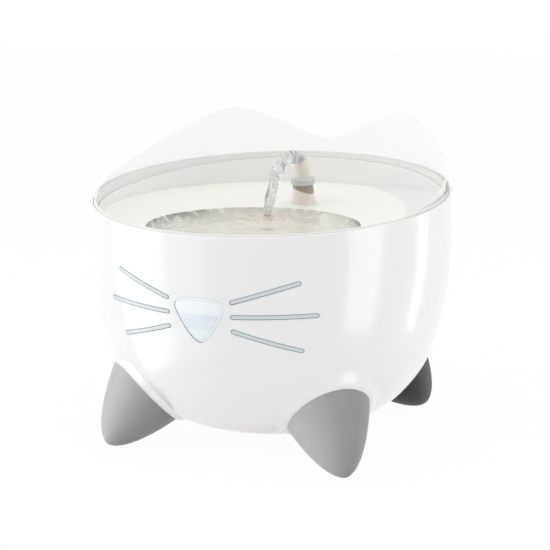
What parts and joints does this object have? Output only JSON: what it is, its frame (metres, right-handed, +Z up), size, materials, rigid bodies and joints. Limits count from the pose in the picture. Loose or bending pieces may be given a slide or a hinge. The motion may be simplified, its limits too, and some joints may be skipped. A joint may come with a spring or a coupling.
{
  "type": "pet water fountain",
  "caption": "Round pet water fountain with a cat face, cone legs, an eared splash guard, a lift-out drinking tray with a turning spout, a filter pan and a pump.",
  "frame": {"origin": "on the bowl's axis, on the floor that the four leg tips stand on", "axes": "+Z up along the bowl's axis, -Y towards the cat face, +X to the right of the face as seen from in front"},
  "size_m": [0.2388, 0.2388, 0.206],
  "materials": {
    "bowl_white": "gloss",
    "guard_clear": "satin, slightly see-through",
    "tray_white": "gloss",
    "clear": "clear",
    "window": "clear, pale blue",
    "collar_grey": "satin",
    "leg_grey": "matte",
    "rubber_grey": "matte",
    "steel": "satin",
    "pan_white": "satin",
    "cotton": "felt",
    "carbon": "granular",
    "pump_black": "satin",
    "copper": "enamelled winding",
    "board_green": "satin",
    "magnet": "sintered",
    "impeller_white": "satin",
    "ceramic": "polished ceramic",
    "dial_orange": "satin",
    "sponge": "open foam",
    "lead_white": "satin"
  },
  "bodies": {
    "base": {"tank": "bowl_white", "pump_stand": "bowl_white", "nose_window": "window", "whisker_window_left": "window", "whisker_window_right": "window", "leg_front_left": "leg_grey", "leg_front_right": "leg_grey", "leg_rear_left": "leg_grey", "leg_rear_right": "leg_grey", "leg_screws": "steel", "leg_tips": "rubber_grey", "pump_case": "pump_black", "motor_coil": "copper", "motor_cap": "pump_black", "led_board": "board_green", "led_lens": "clear", "suction_cups": "rubber_grey", "impeller_cover": "pump_black", "impeller_shaft": "ceramic", "shaft_bush_front": "magnet", "shaft_bush_rear": "magnet", "riser_tube": "pan_white", "pump_lead": "lead_white", "power_inlet": "pump_black", "inlet_gasket": "rubber_grey", "inlet_nut": "pump_black"},
    "guard": {"splash_guard": "guard_clear"},
    "tray": {"drinking_tray": "tray_white", "spout_base": "clear", "stub_seal": "rubber_grey"},
    "spout": {"spout_tube": "clear", "spout_collar": "collar_grey"},
    "filter": {"filter_pan": "pan_white", "filter_lid": "pan_white", "filter_pad": "cotton", "carbon_layer": "carbon"},
    "rotor": {"magnet_rotor": "magnet", "impeller": "impeller_white"},
    "dial": {"flow_dial": "dial_orange"},
    "intake": {"intake_cover": "pump_black", "intake_sponge": "sponge"}
  },
  "joints": [
    {"name": "guard_lift", "type": "slide", "parent": "base", "child": "guard", "axis": [0, -0.0872, 0.9962], "range_m": [0, 0.06]},
    {"name": "tray_lift", "type": "slide", "parent": "base", "child": "tray", "axis": [0, -0.0872, 0.9962], "range_m": [0, 0.115]},
    {"name": "filter_lift", "type": "slide", "parent": "base", "child": "filter", "axis": [0, 0, 1], "range_m": [0, 0.1081]},
    {"name": "spout_swivel", "type": "hinge", "parent": "tray", "child": "spout", "pos_m": [0.004, 0.04931, 0.16481], "axis": [0, -0.0872, 0.9962], "range_deg": [-40, 40]},
    {"name": "impeller_spin", "type": "hinge", "parent": "base", "child": "rotor", "pos_m": [0.004, 0.05971, 0.046], "axis": [0, 1, 0], "continuous": true},
    {"name": "dial_turn", "type": "hinge", "parent": "base", "child": "dial", "pos_m": [0.004, 0.067, 0.046], "axis": [0, 1, 0], "range_deg": [0, 60]},
    {"name": "cover_slide", "type": "slide", "parent": "base", "child": "intake", "axis": [0, 1, 0], "range_m": [0, 0.005]}
  ],
  "couplings": [
    {"joint": "filter_lift", "follows": "tray_lift", "ratio": 0.94}
  ]
}
